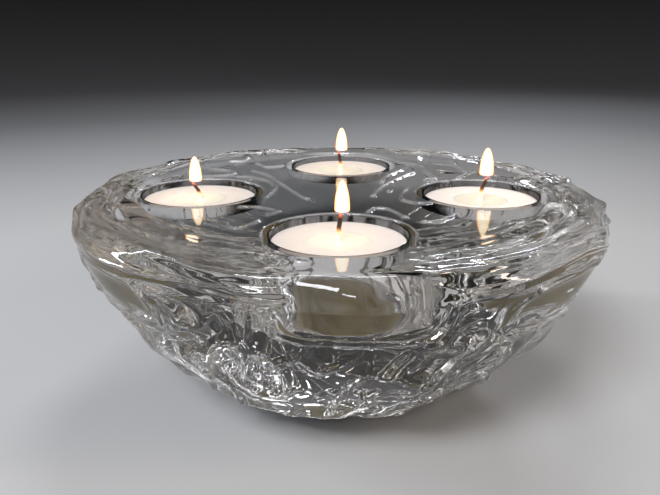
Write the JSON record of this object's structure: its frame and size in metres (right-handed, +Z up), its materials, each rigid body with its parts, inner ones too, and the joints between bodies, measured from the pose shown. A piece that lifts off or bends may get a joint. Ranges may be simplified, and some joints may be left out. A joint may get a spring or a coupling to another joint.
{
  "type": "floating candle bowl",
  "caption": "Thick cast-glass bowl with a flat top and round wells, a lit tealight in a clear cup in each well.",
  "frame": {"origin": "middle of the flat face that the bowl rests on", "axes": "+Z up out of the wells, -Y towards the front tealight, +X towards the right tealight"},
  "size_m": [0.1714, 0.1711, 0.0703],
  "materials": {
    "glass": "polished",
    "clear_cup": "polished",
    "wax": "satin",
    "molten_wax": "polished",
    "tab_steel": "satin",
    "wick_cotton": "matte"
  },
  "bodies": {
    "bowl": {"glass_bowl": "glass"},
    "tealight_1": {"tealight_cup_1": "clear_cup", "tealight_wax_1": "wax", "melt_pool_1": "molten_wax", "wick_tab_1": "tab_steel", "wick_1": "wick_cotton"},
    "tealight_2": {"tealight_cup_2": "clear_cup", "tealight_wax_2": "wax", "melt_pool_2": "molten_wax", "wick_tab_2": "tab_steel", "wick_2": "wick_cotton"},
    "tealight_3": {"tealight_cup_3": "clear_cup", "tealight_wax_3": "wax", "melt_pool_3": "molten_wax", "wick_tab_3": "tab_steel", "wick_3": "wick_cotton"},
    "tealight_4": {"tealight_cup_4": "clear_cup", "tealight_wax_4": "wax", "melt_pool_4": "molten_wax", "wick_tab_4": "tab_steel", "wick_4": "wick_cotton"}
  },
  "joints": [
    {"name": "tealight_1_lift", "type": "slide", "parent": "bowl", "child": "tealight_1", "axis": [0, 0, 1], "range_m": [0, 0.04]},
    {"name": "tealight_2_lift", "type": "slide", "parent": "bowl", "child": "tealight_2", "axis": [0, 0, 1], "range_m": [0, 0.04]},
    {"name": "tealight_3_lift", "type": "slide", "parent": "bowl", "child": "tealight_3", "axis": [0, 0, 1], "range_m": [0, 0.04]},
    {"name": "tealight_4_lift", "type": "slide", "parent": "bowl", "child": "tealight_4", "axis": [0, 0, 1], "range_m": [0, 0.04]}
  ]
}
